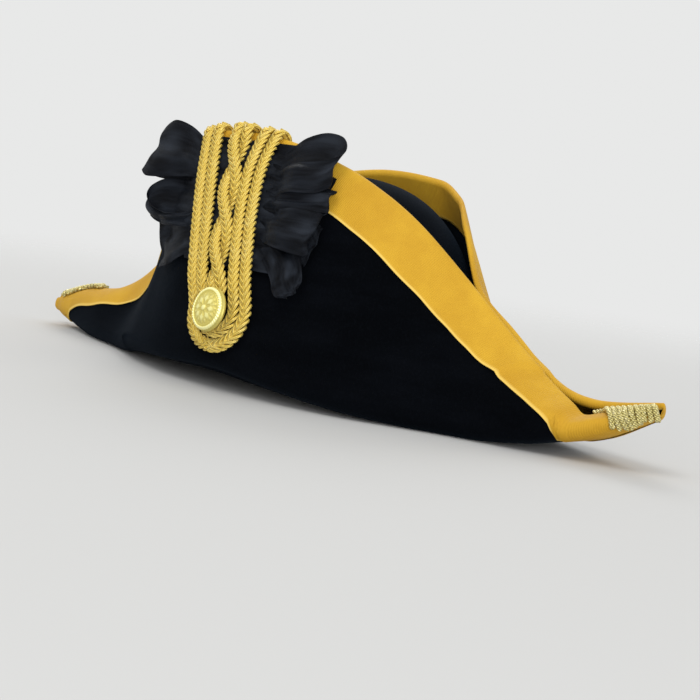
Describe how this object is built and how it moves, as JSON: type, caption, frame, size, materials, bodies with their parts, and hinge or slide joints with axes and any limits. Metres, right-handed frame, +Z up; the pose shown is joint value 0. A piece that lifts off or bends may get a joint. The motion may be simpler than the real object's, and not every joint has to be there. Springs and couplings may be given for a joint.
{
  "type": "bicorne hat",
  "caption": "Fore-and-aft bicorne of black felt with turned-up flaps bound in gold ribbon, silk bows under plaited cord loops and a domed button, and a bullion tassel at either tip.",
  "frame": {"origin": "on the floor under the middle of the whole hat", "axes": "+X to the front tip, -Y to the side with the cockade, +Z up"},
  "size_m": [0.43, 0.1736, 0.1403],
  "materials": {
    "felt": "brushed black wool felt, matt, with a faint nap",
    "binding": "golden yellow ribbed ribbon with a plain selvage",
    "silk": "blue-black silk satin, soft sheen, ruffled",
    "cord": "flat plaited gold cord",
    "gilt": "bright gilt metal with raised relief",
    "bullion": "coiled dull gold wire"
  },
  "bodies": {
    "root": {"brim": "felt", "crown": "felt", "right_binding": "binding", "left_binding": "binding", "front_wrap": "binding", "rear_wrap": "binding", "rear_bow": "silk", "front_bow": "silk", "outer_cord_loop": "cord", "inner_cord_loop": "cord", "twisted_cord_a": "cord", "twisted_cord_b": "cord", "button": "gilt", "front_tassel": "bullion", "rear_tassel": "bullion"}
  },
  "joints": []
}
